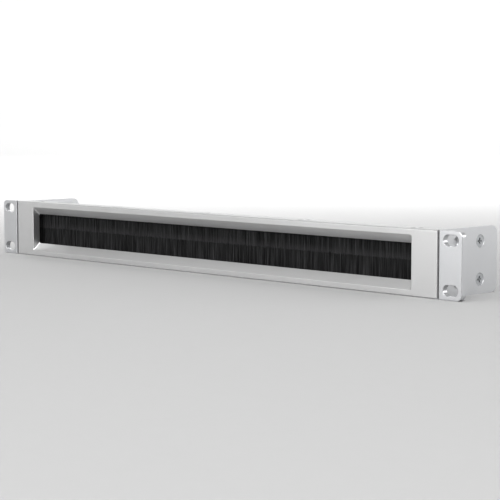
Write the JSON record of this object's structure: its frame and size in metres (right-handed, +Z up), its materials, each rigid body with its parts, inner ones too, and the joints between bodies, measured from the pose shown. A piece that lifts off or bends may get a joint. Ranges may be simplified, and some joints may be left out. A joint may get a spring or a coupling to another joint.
{
  "type": "rack brush strip panel",
  "caption": "Rack panel with a wide splayed window closed by rows of black bristles for cable entry, with slotted rack ears and side plates.",
  "frame": {"origin": "centre of the rack mounting plane, in the rear faces of the ears, midway between the four slots", "axes": "+X to the right seen from the front, +Y back into the rack, +Z up"},
  "size_m": [0.4826, 0.0625, 0.044],
  "materials": {
    "panel_paint": "light grey powder coat with a metallic sheen, satin",
    "ear_paint": "light grey powder coat with a metallic sheen, satin",
    "arm_paint": "light grey powder coat with a metallic sheen, satin",
    "rail_aluminium": "mill finish",
    "spine_steel": "zinc plated",
    "bristle_black": "black nylon bristle",
    "screw_zinc": "zinc plated",
    "nut_zinc": "zinc plated"
  },
  "bodies": {
    "root": {"front_panel": "panel_paint", "left_rack_ear": "ear_paint", "left_side_arm": "arm_paint", "left_upper_ear_screw": "screw_zinc", "left_upper_press_nut": "nut_zinc", "left_upper_stud_nut": "nut_zinc", "left_lower_ear_screw": "screw_zinc", "left_lower_press_nut": "nut_zinc", "left_lower_stud_nut": "nut_zinc", "right_rack_ear": "ear_paint", "right_side_arm": "arm_paint", "right_upper_ear_screw": "screw_zinc", "right_upper_press_nut": "nut_zinc", "right_upper_stud_nut": "nut_zinc", "right_lower_ear_screw": "screw_zinc", "right_lower_press_nut": "nut_zinc", "right_lower_stud_nut": "nut_zinc", "upper_brush_rail": "rail_aluminium", "upper_brush_spine": "spine_steel", "upper_bristles": "bristle_black", "upper_rail_screw_1": "screw_zinc", "upper_rail_screw_2": "screw_zinc", "upper_rail_screw_3": "screw_zinc", "upper_rail_screw_4": "screw_zinc", "upper_rail_screw_5": "screw_zinc", "lower_brush_rail": "rail_aluminium", "lower_brush_spine": "spine_steel", "lower_bristles": "bristle_black", "lower_rail_screw_1": "screw_zinc", "lower_rail_screw_2": "screw_zinc", "lower_rail_screw_3": "screw_zinc", "lower_rail_screw_4": "screw_zinc", "lower_rail_screw_5": "screw_zinc"}
  },
  "joints": []
}
